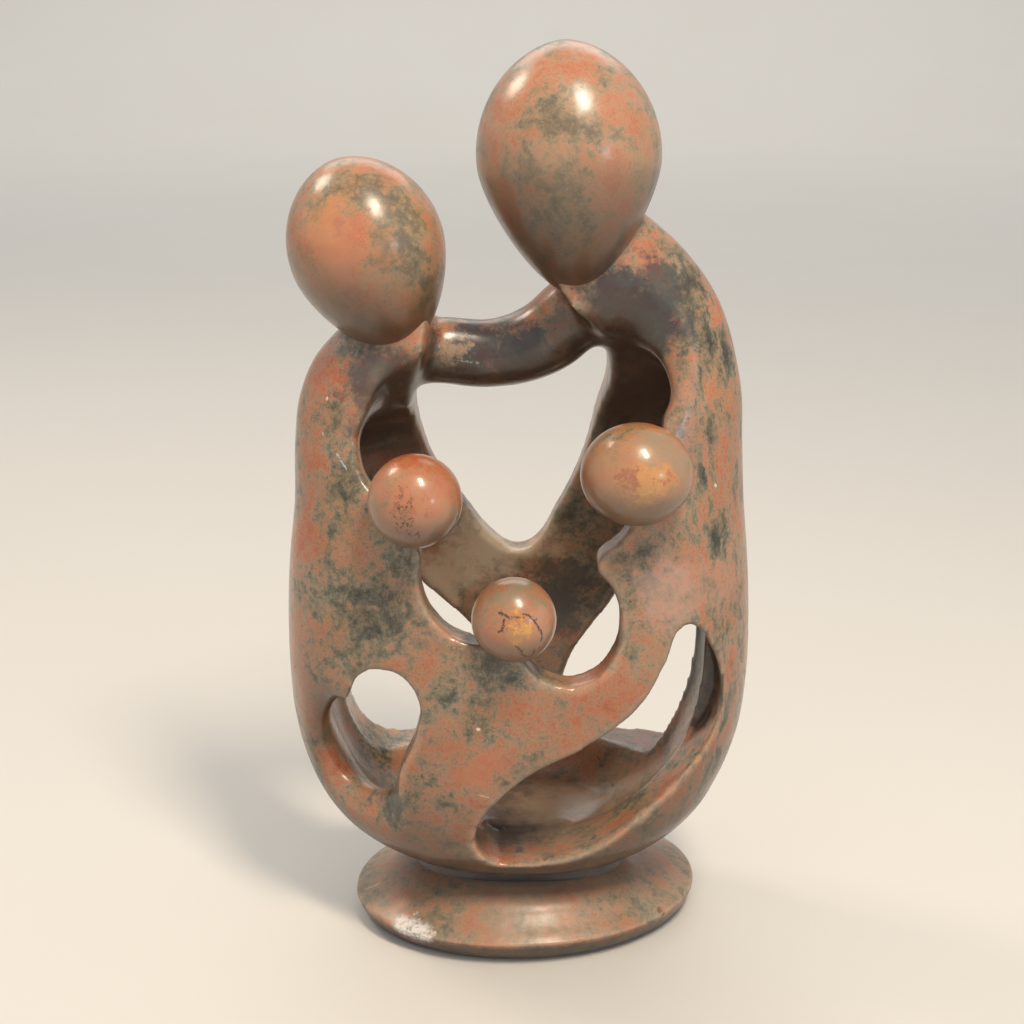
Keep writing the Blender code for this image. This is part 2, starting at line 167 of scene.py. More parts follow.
def loft(name, rings, collection=None, squareness=body["squareness"], around=144):
    shape = bmesh.new()
    loops = []
    for height, left, right, depth, middle in rings:
        loop = []
        for k in range(around):
            turn = 2 * math.pi * k / around
            c, s = math.cos(turn), math.sin(turn)
            x = (left + right) / 2 + (right - left) / 2 * math.copysign(abs(c) ** (2 / squareness), c)
            y = middle + depth * math.copysign(abs(s) ** (2 / squareness), s)
            loop.append(shape.verts.new((x, y, height)))
        loops.append(loop)
    for lower, upper in zip(loops, loops[1:]):
        for k in range(around):
            n = (k + 1) % around
            shape.faces.new((lower[k], lower[n], upper[n], upper[k]))
    shape.faces.new(loops[0][::-1])
    shape.faces.new(loops[-1])
    if collection:  # flat faces cut more cleanly
        bmesh.ops.triangulate(shape, faces=shape.faces)
    mesh = bpy.data.meshes.new(name)
    shape.to_mesh(mesh)
    shape.free()
    return newObject(name, mesh, collection)


def outerEdges(up):
    left, right, depth = readTable(bodySections, up)
    return left * body["width"] / 2, right * body["width"] / 2, depth * body["depth"] / 2


def bodyForm():
    ups = np.linspace(0, 1, 121) ** 1.3
    rings = [(bodyFoot + up * body["height"], *outerEdges(up), 0.0) for up in ups]
    return loft("carved_body", rings)


def hollowForm():
    rings = []
    for up in np.linspace(0.055, hollowRoof[-1][0], 90):
        left, right, depth = outerEdges(up - (1 - up) * body["floor"] / body["height"])
        leftClose, rightClose, back = readTable(hollowRoof, up)
        left, right = left + body["leftWall"], right - body["rightWall"]
        depth -= body["sheetWall"]
        middle = (left + right) / 2
        left += leftClose * (middle - left)
        right += rightClose * (middle - right)
        rings.append((bodyFoot + up * body["height"], left, right,
                      depth * (1 + back) / 2, depth * (back - 1) / 2))
    return loft("hollow", rings, workShapes)


def chinHollow(name, table):  # a tongue cut in from the front, down to the chest
    rings = []
    front = -1.3 * body["depth"] / 2
    for up in np.linspace(table[0][0], table[-1][0], 40):
        left, right, back = readTable(table, up)
        back *= body["depth"] / 2
        rings.append((bodyFoot + up * body["height"], left * body["width"] / 2,
                      right * body["width"] / 2, (back - front) / 2, (front + back) / 2))
    return loft(name, rings, workShapes)


def evaluatedMesh(made):
    graph = bpy.context.evaluated_depsgraph_get()
    graph.update()
    return bpy.data.meshes.new_from_object(made.evaluated_get(graph))


def asSolid(made):  # a curve turned into a closed mesh
    mesh = evaluatedMesh(made)
    shape = bmesh.new()
    shape.from_mesh(mesh)
    bmesh.ops.remove_doubles(shape, verts=shape.verts, dist=1e-6)
    bmesh.ops.recalc_face_normals(shape, faces=shape.faces)
    bmesh.ops.triangulate(shape, faces=shape.faces)
    shape.to_mesh(mesh)
    shape.free()
    solid = newObject(made.name + "_solid", mesh, workShapes)
    solid.matrix_world = made.matrix_world
    bpy.data.objects.remove(made)
    return solid


def windowCutter(name, front, back):  # a prism through one of the outlines
    curve = bpy.data.curves.new(name, "CURVE")
    curve.dimensions, curve.fill_mode, curve.resolution_u = "2D", "BOTH", 14
    curve.extrude = (back - front) / 2
    spline = curve.splines.new("BEZIER")
    spline.bezier_points.add(len(openings[name]) - 1)
    for point, (across, up) in zip(spline.bezier_points, openings[name]):
        spot = place(across, up)
        point.co = (spot.x, spot.z, 0)
        point.handle_left_type = point.handle_right_type = "AUTO"
    spline.use_cyclic_u = True
    cutter = newObject(name, curve, workShapes)
    cutter.rotation_euler = (math.pi / 2, 0, 0)
    cutter.location = (0, (front + back) / 2, 0)
    bpy.context.view_layer.update()
    return asSolid(cutter)


def armForm():
    curve = bpy.data.curves.new("arm", "CURVE")
    curve.dimensions, curve.use_fill_caps = "3D", True
    curve.bevel_depth, curve.bevel_resolution, curve.resolution_u = body["arm"] / 2, 12, 16
    spline = curve.splines.new("BEZIER")
    spline.bezier_points.add(len(armPath) - 1)
    for point, (across, up, back, thickness) in zip(spline.bezier_points, armPath):
        point.co = place(across, up, back)
        point.radius = thickness
        point.handle_left_type = point.handle_right_type = "AUTO"
    return asSolid(newObject("arm", curve, workShapes))


def stemForm():
    rings = []
    for up, share in ((-stem["buried"], 1.06), (0, 1.0), (stem["height"], 1.0),
                      (stem["height"] + stem["buried"], 1.06)):
        rings.append((base["height"] + up, -share * stem["width"] / 2, share * stem["width"] / 2,
                      share * stem["depth"] / 2, 0.0))
    return loft("stem", rings, workShapes)


def rounded(name, stand, profile=2.0, taper=0.0, segments=160, rings=110, collection=None):
    # a ball, an ellipsoid or an egg: a dense sphere pulled to its profile, then put in place
    shape = bmesh.new()
    bmesh.ops.create_uvsphere(shape, u_segments=segments, v_segments=rings, radius=1)
    for vertex in shape.verts:
        x, y, z = vertex.co
        reach = (math.hypot(x, y) ** profile + abs(z) ** profile) ** (-1 / profile)
        fullness = 1 + taper * z * reach
        vertex.co = stand @ Vector((x * reach * fullness, y * reach * fullness, z * reach))
    bmesh.ops.recalc_face_normals(shape, faces=shape.faces)
    mesh = bpy.data.meshes.new(name)
    shape.to_mesh(mesh)
    shape.free()
    return newObject(name, mesh, collection)


def ellipsoid(name, centre, radii, collection=None):
    return rounded(name, Matrix.Translation(centre) @ Matrix.Diagonal((*radii, 1)), collection=collection)


def smoothShading(made):
    for face in made.data.polygons:
        face.use_smooth = True


def finished(made, material):  # the closing steps that every piece shares
    smoothShading(made)
    made.data.materials.clear()
    made.data.materials.append(material)
    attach(made, "root")
    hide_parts("family_group")
    print("  ", made.name, len(made.data.polygons), "faces")
    return made


def meshArrays(mesh):  # places of the points, and both ends of each edge
    points = np.zeros(len(mesh.vertices) * 3)
    mesh.vertices.foreach_get("co", points)
    edges = np.zeros(len(mesh.edges) * 2, np.int32)
    mesh.edges.foreach_get("vertices", edges)
    return points.reshape(-1, 3), edges.reshape(-1, 2)


def soften(made, spots, passes):  # rubs some places down further: centre, full radius, fade radius
    mesh = made.data
    points, edges = meshArrays(mesh)
    count = len(points)
    share = np.zeros(count)
    for centre, full, fade in spots:
        far = np.linalg.norm(points - np.array(centre), axis=1)
        share = np.maximum(share, np.clip((fade - far) / (fade - full), 0, 1))
    share = (share * share * (3 - 2 * share))[:, None]
    degree = np.bincount(edges.ravel(), minlength=count)[:, None]
    for _ in range(passes):
        total = np.zeros_like(points)
        np.add.at(total, edges[:, 0], points[edges[:, 1]])
        np.add.at(total, edges[:, 1], points[edges[:, 0]])
        points += share * 0.5 * (total / degree - points)
    mesh.vertices.foreach_set("co", points.ravel())
    mesh.update()


def carvedBody():
    made = bodyForm()
    sheet = 0.4 * (body["depth"] / 2 - body["sheetWall"])
    cuts = (
        hollowForm(),
        windowCutter("betweenParents", -clear, clear),
        windowCutter("frontOpening", -clear, -sheet / 2),
        windowCutter("frontLeftWindow", -clear, -sheet),
        windowCutter("frontRightWindow", -clear, -sheet),
        windowCutter("backLeftWindow", sheet, clear),
        windowCutter("backRightWindow", sheet, clear),
        chinHollow("underFather", underFather),
        chinHollow("underMother", underMother),
        ellipsoid("fatherChest", place(0.44, 0.815, -1.36), (0.043, 0.046, 0.048), workShapes),
        ellipsoid("motherChest", place(-0.46, 0.735, -1.42), (0.036, 0.043, 0.046), workShapes),
        ellipsoid("leftRoll", place(-0.722, 0.195, -1.12), (0.0178, 0.040, 0.0235), workShapes),
    )
    added = (armForm(), stemForm())
    for tool, operation in [(c, "DIFFERENCE") for c in cuts] + [(a, "UNION") for a in added]:
        cut = made.modifiers.new(tool.name, "BOOLEAN")
        cut.operation, cut.object, cut.solver = operation, tool, "EXACT"
    remesh = made.modifiers.new("oneStone", "REMESH")
    remesh.mode, remesh.voxel_size = "VOXEL", body["voxel"]
    rubbed = made.modifiers.new("rubbedEdges", "SMOOTH")
    rubbed.factor, rubbed.iterations = 0.5, body["rubbing"]
    mesh = evaluatedMesh(made)
    made.modifiers.clear()
    made.data = mesh
    soften(made, softSpots, body["softening"])
    soften(made, rollSpots, body["rolling"])
    return made


# places where the stone is worn into soft rolls: centre, full and fade radius
softSpots = (
    (place(-0.60, 0.68, -0.50), 0.009, 0.022),   # below the mother's chest
    (place(-0.39, 0.77, -0.30), 0.009, 0.022),   # where the arm leaves her shoulder
    (place(0.47, 0.79, -0.30), 0.010, 0.024),    # below the father's chest
    (place(0.30, 0.80, -0.20), 0.006, 0.016),
    (place(-0.86, 0.20, -0.60), 0.016, 0.032),   # the roll left of the round window
    (place(-0.66, 0.09, -0.72), 0.010, 0.026),
)
rollSpots = tuple((Vector(at) * mm, 0.008, 0.019) for at in (  # down the inside of the same roll
    (-65, -19, 84), (-64, -18, 76), (-62, -19, 68), (-57, -21, 61), (-50, -27, 56)))


# One class wraps a node's output so that shader maths reads as plain expressions.
class Value:
    def __init__(self, paint, socket):
        self.paint, self.socket = paint, socket

    def maths(self, operation, first, second):
        return self.paint.node("Math", {"operation": operation}, {0: first, 1: second})

    def __add__(self, other): return self.maths("ADD", self, other)
    def __radd__(self, other): return self.maths("ADD", other, self)
    def __sub__(self, other): return self.maths("SUBTRACT", self, other)
    def __rsub__(self, other): return self.maths("SUBTRACT", other, self)
    def __mul__(self, other): return self.maths("MULTIPLY", self, other)
    def __rmul__(self, other): return self.maths("MULTIPLY", other, self)
    def least(self, other): return self.maths("MINIMUM", self, other)
    def most(self, other): return self.maths("MAXIMUM", self, other)

    def fade(self, low, high, soft=True):  # 0 at low, 1 at high
        return self.paint.node("MapRange", {"interpolation_type": "SMOOTHSTEP" if soft else "LINEAR"},
                               {"Value": self, "From Min": low, "From Max": high})


class Paint:
    def __init__(self, name):
        self.material = bpy.data.materials.new(name)
        self.material.use_nodes = True
        self.tree = self.material.node_tree
        self.shader = self.tree.nodes["Principled BSDF"]

    def node(self, kind, settings=None, sockets=None, out=0):
        made = self.tree.nodes.new("ShaderNode" + kind)
        for key, value in (settings or {}).items():
            if key == "stops":
                ramp = made.color_ramp.elements
                while len(ramp) < len(value):
                    ramp.new(0.5)
                for stop, (at, tone) in zip(ramp, value):
                    stop.position, stop.color = at, tone
            else:
                setattr(made, key, value)
        for key, value in (sockets or {}).items():
            self.feed(made.inputs[key], value)
        return Value(self, made.outputs[out])

    def feed(self, target, value):
        if isinstance(value, Value):
            self.tree.links.new(value.socket, target)
        else:
            target.default_value = value

    def mix(self, factor, first, second, blend="MIX"):  # colours
        return self.node("Mix", {"data_type": "RGBA", "blend_type": blend},
                         {0: factor, 6: first, 7: second}, out=2)

    def vector(self, operation, first, second=None, scale=None, out=0):
        sockets = {0: first}
        if second is not None:
            sockets[1] = second
        if scale is not None:
            sockets["Scale"] = scale
        return self.node("VectorMath", {"operation": operation}, sockets, out)

    def noise(self, at, scale, detail=4.0, rough=0.6, twist=0.0, out=0):
        return self.node("TexNoise", {}, {"Vector": at, "Scale": scale, "Detail": detail,
                                          "Roughness": rough, "Distortion": twist}, out)

    def strayed(self, at, wobble, reach):  # coordinates pushed about by a noise colour
        return self.vector("ADD", at, self.vector("SCALE", self.vector("SUBTRACT", wobble, (0.5, 0.5, 0.5)),
                                                  scale=reach))

    def spot(self, where, centre, radius, core=0.3):  # 1 at a place in mm, 0 beyond its radius
        away = self.vector("DISTANCE", where, [c * mm for c in centre], out=1)
        return away.fade(radius * mm, radius * core * mm)

    def line(self, where, points, width):  # 1 along a line through points in mm, 0 beyond its width
        nearest = None
        for start, end in zip(points, points[1:]):
            start, end = Vector(start) * mm, Vector(end) * mm
            run = end - start
            reach = self.vector("SUBTRACT", where, start)
            along = self.vector("DOT_PRODUCT", reach, run / run.length_squared, out=1)
            along = along.most(0.0).least(1.0)
            across = self.vector("SUBTRACT", reach, self.vector("SCALE", run, scale=along))
            away = self.vector("LENGTH", across, out=1)
            nearest = away if nearest is None else nearest.least(away)
        return nearest.fade(width * mm, width * 0.25 * mm)


def tone(red, green, blue):  # a display colour, 0 to 255, as the shader wants it
    def linear(c):
        c /= 255
        return c / 12.92 if c <= 0.04045 else ((c + 0.055) / 1.055) ** 2.4
    return (linear(red), linear(green), linear(blue), 1.0)


# The stone runs from rust through salmon, tan and grey-green to charcoal: place on the run, colour.
stoneRun = (
    (0.00, (178, 108, 76)), (0.18, (184, 120, 88)), (0.34, (178, 134, 104)), (0.47, (158, 134, 109)),
    (0.60, (128, 122, 101)), (0.78, (92, 92, 78)), (1.00, (58, 59, 55)),
)
# the dark brown tone (58, 42, 32) is painted shade on downward faces and in creases; pale also lights rims as
# a painted highlight
stoneTones = {
    "pepper": (50, 52, 46), "pinkWash": (255, 236, 232), "orangeWash": (255, 216, 172),
    "pale": (214, 190, 164), "paintedShade": (58, 42, 32), "dust": (160, 142, 120), "pit": (48, 30, 22),
}
# dark tones for painted shade
shadeTones = {
    "violet": (0.040, 0.035, 0.042, 1), "grey": (0.060, 0.062, 0.058, 1), "grime": (0.040, 0.038, 0.042, 1),
}
stoneFinish = {
    "cloud": 0.60, "blotch": 2.2, "fleck": 5.5, "swirl": 0.6, "from": 0.365, "to": 0.665,
    "orange": 0.35, "rough": 0.30, "coat": 0.35, "coatRough": 0.16, "under": 0.85,
    "wash": (255, 255, 255), "unevenness": 0.5, "dust": 0.0, "shake": 1.6, "wander": 30,
}


def stoneMaterial(name, changes=None, clouds=(), shades=(), patches=(), lines=(), pits=()):
    # places, radii and widths in mm
    # clouds: place, radius, how much greener (or redder, below 0); shades (painted shade): place, radius,
    # depth
    # patches: place, radius, colour, strength; lines: points, width, colour, strength; pits: place, radius
    f = dict(stoneFinish, **(changes or {}))
    tones = {key: tone(*value) for key, value in stoneTones.items()}
    paint = Paint(name)
    where = paint.node("TexCoord", out=3)  # object coordinates, in metres
    cm = paint.node("Mapping", {"vector_type": "POINT"}, {"Vector": where, "Scale": (100, 100, 100),
                                                          "Location": f.get("shift", (0, 0, 0))})
    bent = paint.strayed(cm, paint.noise(cm, 0.7, 3.0, 0.6, out=1), f["swirl"] * 1.6)
    wander = paint.strayed(where, paint.noise(cm, 1.6, 5.0, 0.7, out=1), f["wander"] * mm)

    # three sizes of marbling make one field, from red (low) to green (high)
    cloud = paint.noise(bent, f["cloud"], 6.0, 0.58)
    blotch = paint.noise(bent, f["blotch"], 7.0, 0.62)
    fleck = paint.noise(cm, f["fleck"], 6.0, 0.74)
    grain = paint.noise(cm, 26.0, 2.0, 0.6)
    field = cloud * 0.36 + blotch * 0.38 + fleck * 0.26
    if "streaks" in f:  # drawn-out marks on the far right limb
        drawn = paint.vector("MULTIPLY", bent, (1.5, 1.5, 0.42))
        side = paint.node("SeparateXYZ", {}, {"Vector": where}).fade(*f["streaks"])
        field = field + side * 0.8 * (paint.noise(drawn, 1.7, 6.0, 0.66) * 0.8 + fleck * 0.2 - field)
    for centre, radius, shift in clouds:
        field = field + paint.spot(wander, centre, radius) * shift
    along = field.fade(f["from"], f["to"], soft=False)
    colour = paint.node("ValToRGB", {"stops": [(at, tone(*value)) for at, value in stoneRun]}, {"Fac": along})
    colour = paint.mix(paint.noise(cm, 0.45, 3.0, 0.5).fade(0.40, 0.62) * (1 - f["orange"]), colour,
                       tones["pinkWash"], "MULTIPLY")
    colour = paint.mix(paint.noise(bent, 0.8, 3.0, 0.5).fade(0.62, 0.38) * f["orange"], colour,
                       tones["orangeWash"], "MULTIPLY")
    green = along.fade(0.42, 0.72)
    pepper = paint.noise(cm, 12.0, 4.0, 0.8).fade(0.50, 0.68)
    colour = paint.mix(pepper * (0.42 + 0.20 * green), colour, tones["pepper"])
    colour = paint.mix(grain.fade(0.55, 0.75) * 0.20, colour, tones["pale"])
    colour = paint.mix(1.0, colour, tone(*f["wash"]), "MULTIPLY")
    # painted shade: spots darkened towards the dark shade tones
    if shades:
        deep = None
        for centre, radius, depth in shades:
            here = paint.spot(wander, centre, radius, 0.45) * depth
            deep = here if deep is None else deep.most(here)
        shadeTone = paint.mix(blotch.fade(0.40, 0.62), shadeTones["violet"], shadeTones["grey"])
        colour = paint.mix(deep, colour, shadeTone)
    for centre, radius, shade, strength in patches:
        colour = paint.mix(paint.spot(wander, centre, radius) * strength, colour, tone(*shade))

    facing = paint.node("SeparateXYZ", {}, {"Vector": paint.node("NewGeometry", out=1)}, out=2)
    colour = paint.mix(facing.fade(0.25, -0.6) * f["under"], colour, tones["paintedShade"])  # painted shade underneath
    rimsAndCreases = paint.node("Attribute", {"attribute_name": "edge"}, out=2)  # + on rims, - in creases: painted shade in creases and a painted highlight on rims
    # painted shade in creases
    colour = paint.mix(rimsAndCreases.fade(0.0, -1.0, soft=False) * 0.75, colour, tones["paintedShade"])
    # painted highlight along rims
    colour = paint.mix(rimsAndCreases.fade(0.25, 1.0, soft=False) * 0.22, colour, tones["pale"])
    for centre, radius in pits:  # worm-eaten places, full of dark little holes
        holes = paint.noise(cm, 11.0, 5.0, 0.75).fade(0.52, 0.60) * paint.spot(wander, centre, radius, 0.5)
        colour = paint.mix(holes * 0.85, colour, tones["pit"])
    if lines:
        near = paint.strayed(where, paint.noise(cm, 9.0, 4.0, 0.7, out=1), f["shake"] * mm)
        broken = paint.noise(cm, 6.0, 3.0, 0.7).fade(0.36, 0.50)
    for points, width, shade, strength in lines:
        colour = paint.mix(paint.line(near, points, width) * strength * broken, colour, tone(*shade))
    if "foot" in f:  # painted shade near the ground, or round the stem
        height = paint.node("SeparateXYZ", {}, {"Vector": wander}, out=2)
        clean, full, strength = f["foot"]
        colour = paint.mix(height.fade(clean, full) * strength, colour, shadeTones["grime"])
    if f["dust"]:
        colour = paint.mix(facing.fade(0.2, 0.95) * f["dust"] * (0.6 + blotch), colour, tones["dust"])
    paint.feed(paint.shader.inputs["Base Color"], colour)

    smear = paint.noise(cm, 0.8, 4.0, 0.65)
    rough = f["rough"] + 0.16 * (smear - 0.5) + 0.06 * green + 0.08 * (grain - 0.5)
    paint.feed(paint.shader.inputs["Roughness"], rough)
    relief = paint.noise(cm, 0.9, 2.0, 0.5) + fleck * 0.035 + grain * 0.02
    bump = paint.node("Bump", {}, {"Strength": 1.0, "Distance": f["unevenness"] * mm, "Height": relief})
    paint.feed(paint.shader.inputs["Normal"], bump)
    paint.shader.inputs["Coat Weight"].default_value = f["coat"]
    paint.shader.inputs["Coat Roughness"].default_value = f["coatRough"]
    return paint.material


def markEdges(made, passes=5):  # an "edge" value on the mesh: + on rims, - in creases
    mesh = made.data
    points, edges = meshArrays(mesh)
    count = len(points)
    normals = np.zeros(count * 3)
    mesh.vertex_normals.foreach_get("vector", normals)
    normals = normals.reshape(-1, 3)
    first, second = edges.T
    degree = np.maximum(np.bincount(edges.ravel(), minlength=count), 1)
    spread = np.zeros_like(points)
    np.add.at(spread, first, points[second])
    np.add.at(spread, second, points[first])
    bulge = -np.einsum("ij,ij->i", spread / degree[:, None] - points, normals)
    for _ in range(passes):
        total = np.bincount(first, bulge[second], count) + np.bincount(second, bulge[first], count)
        bulge = 0.5 * bulge + 0.5 * total / degree
    high = np.percentile(np.abs(bulge), 98)  # the sharpest few are all one step
    edge = np.clip(bulge / high, -1, 1)
    mesh.attributes.new("edge", "FLOAT", "POINT").data.foreach_set("value", edge.astype(np.float32))


# greener and redder places of the body: place in mm, radius in mm, how much greener
bodyClouds = (
    ((-64, -12, 197), 13, -0.07), ((-68, -18, 172), 12, -0.05), ((-71, -21, 140), 16, -0.06),
    ((-72, -22, 105), 18, -0.07), ((-70, -24, 84), 14, -0.06), ((-64, -20, 62), 10, -0.06),
    ((-57, -27, 165), 11, 0.075), ((-64, -26, 148), 9, 0.05), ((-62, -28, 128), 13, 0.05),
    ((-47, -38, 122), 19, 0.055), ((-38, -38, 142), 12, 0.05), ((-58, -34, 110), 12, 0.06),
    ((-7, -45, 108), 13, 0.085), ((-22, -45, 98), 9, 0.05), ((-12, -45, 90), 8, 0.05),
    ((4, -45, 97), 8, -0.05), ((25, -44, 100), 18, -0.065), ((37, -41, 116), 14, -0.04),
    ((-14, -45, 67), 13, -0.11), ((-8, -44, 77), 9, -0.09), ((-16, -43, 48), 10, -0.06),
    ((-42, -37, 56), 10, 0.10), ((-34, -41, 66), 8, 0.09), ((-30, -42, 55), 7, -0.04),
    ((-56, -28, 52), 9, 0.05), ((-49, 14, 51), 14, 0.06), ((-52, -6, 62), 10, 0.06),
    ((63, -14, 200), 12, 0.05), ((56, -15, 212), 10, 0.09), ((53, -12, 223), 9, 0.05),
    ((62, -27, 145), 11, 0.05), ((53, -32, 140), 9, -0.04), ((66, -24, 65), 8, 0.10),
    ((50, -30, 63), 10, -0.08), ((68, -25, 100), 12, -0.03), ((68, -16, 172), 12, -0.03),
    ((14, 2, 38), 14, 0.05), ((42, 7, 48), 12, -0.04), ((6, -16, 36), 12, 0.02),
    ((-8, 32, 118), 12, 0.02), ((21, 29, 134), 14, 0.05), ((14, 32, 103), 16, 0.06),
    ((-29, 31, 107), 12, 0.03),
)
bodyShades = (  # where it is nearly black: painted shade under the heads, arm and middle child, in the hollows and round the stem, with some truly darker stone at the chests; place, radius, depth
    ((-46, -22, 196), 15, 0.80), ((-41, -6, 182), 13, 0.75), ((-52, -8, 176), 12, 0.55),
    ((-51, 12, 168), 14, 0.55),
    ((-36, -8, 203), 12, 0.80), ((-14, -6, 203), 14, 0.90), ((0, -6, 201), 15, 0.92),
    ((12, -8, 208), 11, 0.60),
    ((28, -16, 221), 14, 0.92), ((40, -17, 214), 16, 0.92), ((31, -9, 206), 15, 0.9),
    ((43, -15, 226), 12, 0.8),
    ((48, 0, 190), 14, 0.7), ((35, 11, 183), 14, 0.6), ((0, 0, 22), 36, 0.85), ((22, -4, 208), 12, 0.9),
    ((62, -10, 94), 17, 0.95), ((63, -6, 80), 16, 0.9), ((60, 8, 98), 20, 0.95),
    ((58, 14, 84), 16, 0.9), ((47, 4, 176), 12, 0.7), ((-7, -46, 114), 8, 0.35),
    ((16, 32, 112), 13, 0.7), ((12, 32, 100), 14, 0.85), ((-46, -22, 180), 12, 0.5),
)
bodyPatches = (  # place, radius, colour, strength
    # the first spot below is a painted highlight in the shade under the arm
    ((-22, -9, 203), 6, (176, 148, 118), 0.75), ((16, -10, 214), 8, (128, 104, 84), 0.5),
    # painted light on the back strap: the two spots below and the first of the next row
    ((-12, 30, 124), 20, (232, 212, 184), 0.9), ((-30, 29, 110), 18, (214, 194, 168), 0.8),
    ((4, 28, 128), 14, (216, 192, 162), 0.75), ((-13, -45, 72), 11, (206, 128, 88), 0.5),
    # painted reflection: the pale pink pair below stands for the bluish sheen on the front sheet and right
    # limb
    ((46, -36, 130), 16, (204, 164, 150), 0.45), ((62, -26, 130), 14, (196, 152, 132), 0.35),
    # painted light on the floor of the bowl: the pair below
    ((14, -4, 37), 26, (210, 176, 138), 0.6), ((40, 6, 46), 16, (206, 168, 130), 0.5),
)
bodyLines = (  # scratches and specks: points, width, colour, strength
    (((-58.6, -25.0, 172.7), (-55.6, -27.5, 168.5)), 0.5, (190, 205, 215), 0.8),
    (((-48.6, -31.0, 53.2), (-46.6, -34.4, 51.8), (-44.9, -36.9, 50.7)), 0.5, (196, 170, 140), 0.7),
    (((-14.2, -44.9, 63.8), (-10.7, -45.0, 63.1)), 0.35, (226, 196, 166), 0.6),
    (((-20.6, -8.0, 199.1), (-17.4, -8.0, 198.8), (-14.1, -7.5, 198.4)), 0.6, (178, 176, 170), 0.7),
    (((28.2, 21.4, 46.0), (30.4, 15.0, 43.0), (33.0, 7.4, 41.2)), 0.7, (70, 52, 40), 0.8),
    (((-14.1, -45.2, 87.2), (-13.7, -45.2, 87.3)), 0.7, (235, 226, 206), 0.9),
    (((61.9, -23.7, 161.8), (61.6, -23.7, 162.3)), 0.7, (235, 226, 206), 0.8),
    (((-61.9, -18.4, 189.0), (-61.7, -18.4, 189.4)), 0.6, (235, 226, 206), 0.8),
    (((-63.3, -21.0, 177.9), (-63.2, -21.0, 178.6)), 0.6, (235, 226, 206), 0.8),
)
bodyFinish = {"streaks": (0.046, 0.060), "foot": (0.036, 0.027, 0.85)}  # streaks from x to x, painted shade below z
bodyStone = stoneMaterial("mottled_stone", bodyFinish, bodyClouds, bodyShades, bodyPatches, bodyLines)
bodyPiece = finished(carvedBody(), bodyStone)
markEdges(bodyPiece)
print("body carved")


headNod = -8  # degrees: crowns back, chins forward


def eggHead(name, spec, material):
    fullest = max(math.cos(t) * (1 + spec["taper"] * math.sin(t)) for t in np.linspace(0, 1, 50))
    across = spec["width"] / 2 / fullest
    turned = Euler((math.radians(headNod), math.radians(spec["lean"]), 0)).to_matrix().to_4x4()
    stand = Matrix.Translation(place(*spec["at"])) @ turned
    stand = stand @ Matrix.Diagonal((across, across, spec["length"] / 2, 1))
    return finished(rounded(name, stand, spec["profile"], spec["taper"]), material)


fatherHead = {"at": (0.186, 1.035, -0.16), "length": 0.078, "width": 0.0586, "taper": 0.224, "profile": 1.70,
              "lean": -2.9}
motherHead = {"at": (-0.610, 0.9155, -0.16), "length": 0.0634, "width": 0.0499, "taper": 0.14,
              "profile": 1.80, "lean": -21}
# where each head is greener or redder, its patches and its fine lines, in mm
fatherClouds = (
    ((9, -33, 274), 9, 0.07), ((6, -29, 282), 6, 0.05), ((14, -35, 259), 11, 0.06), ((16, -31, 284), 6, 0.05),
    ((23, -34, 263), 10, -0.04), ((29, -30, 262), 9, -0.07), ((32, -28, 252), 7, -0.05),
    ((22, -31, 268), 6, 0.07),
    ((-7, -23, 275), 12, -0.06), ((-6, -24, 262), 12, -0.05), ((-4, -23, 247), 9, -0.05),
    ((11, -20, 293), 12, -0.03),
    ((35, -21, 279), 7, -0.03), ((5, -28, 244), 8, 0.03), ((20, -27, 238), 7, 0.03),
    ((34, -20, 268), 8, 0.05),
)
motherClouds = (
    ((-54, -31, 238), 12, -0.11), ((-61, -27, 243), 10, -0.08), ((-51, -30, 247), 8, -0.06),
    ((-50, -29, 224), 11, -0.07),
    ((-62, -25, 226), 9, -0.05), ((-68, -22, 236), 10, -0.03), ((-46, -25, 253), 7, 0.06),
    ((-54, -22, 256), 8, 0.06),
    ((-38, -23, 250), 9, 0.09), ((-34, -24, 243), 8, 0.10), ((-33, -24, 233), 9, 0.09),
    ((-46, -30, 236), 4, 0.06),
    ((-30, -20, 226), 7, 0.05), ((-30, -22, 219), 6, 0.02),
)
fatherPatches = (((20.5, -26.9, 238), 6, (190, 120, 60), 0.6), ((27, -29, 250), 5, (196, 116, 100), 0.5))
motherPatches = (((-57, -29, 235), 15, (204, 112, 66), 0.6), ((-62, -26, 244), 12, (206, 140, 84), 0.5),
                 ((-51, -29, 223), 6, (120, 44, 30), 0.45))
fatherFinish = {"orange": 0.6, "shift": (3.1, 0, 0), "coatRough": 0.20, "wash": (250, 246, 238)}
motherFinish = {"orange": 1.0, "shift": (0, 5.3, 0), "coatRough": 0.20, "wash": (250, 234, 214)}
fatherStone = stoneMaterial("father_stone", fatherFinish, fatherClouds, patches=fatherPatches)
motherStone = stoneMaterial("mother_stone", motherFinish, motherClouds, patches=motherPatches)
markEdges(eggHead("father_head", fatherHead, fatherStone))
markEdges(eggHead("mother_head", motherHead, motherStone))

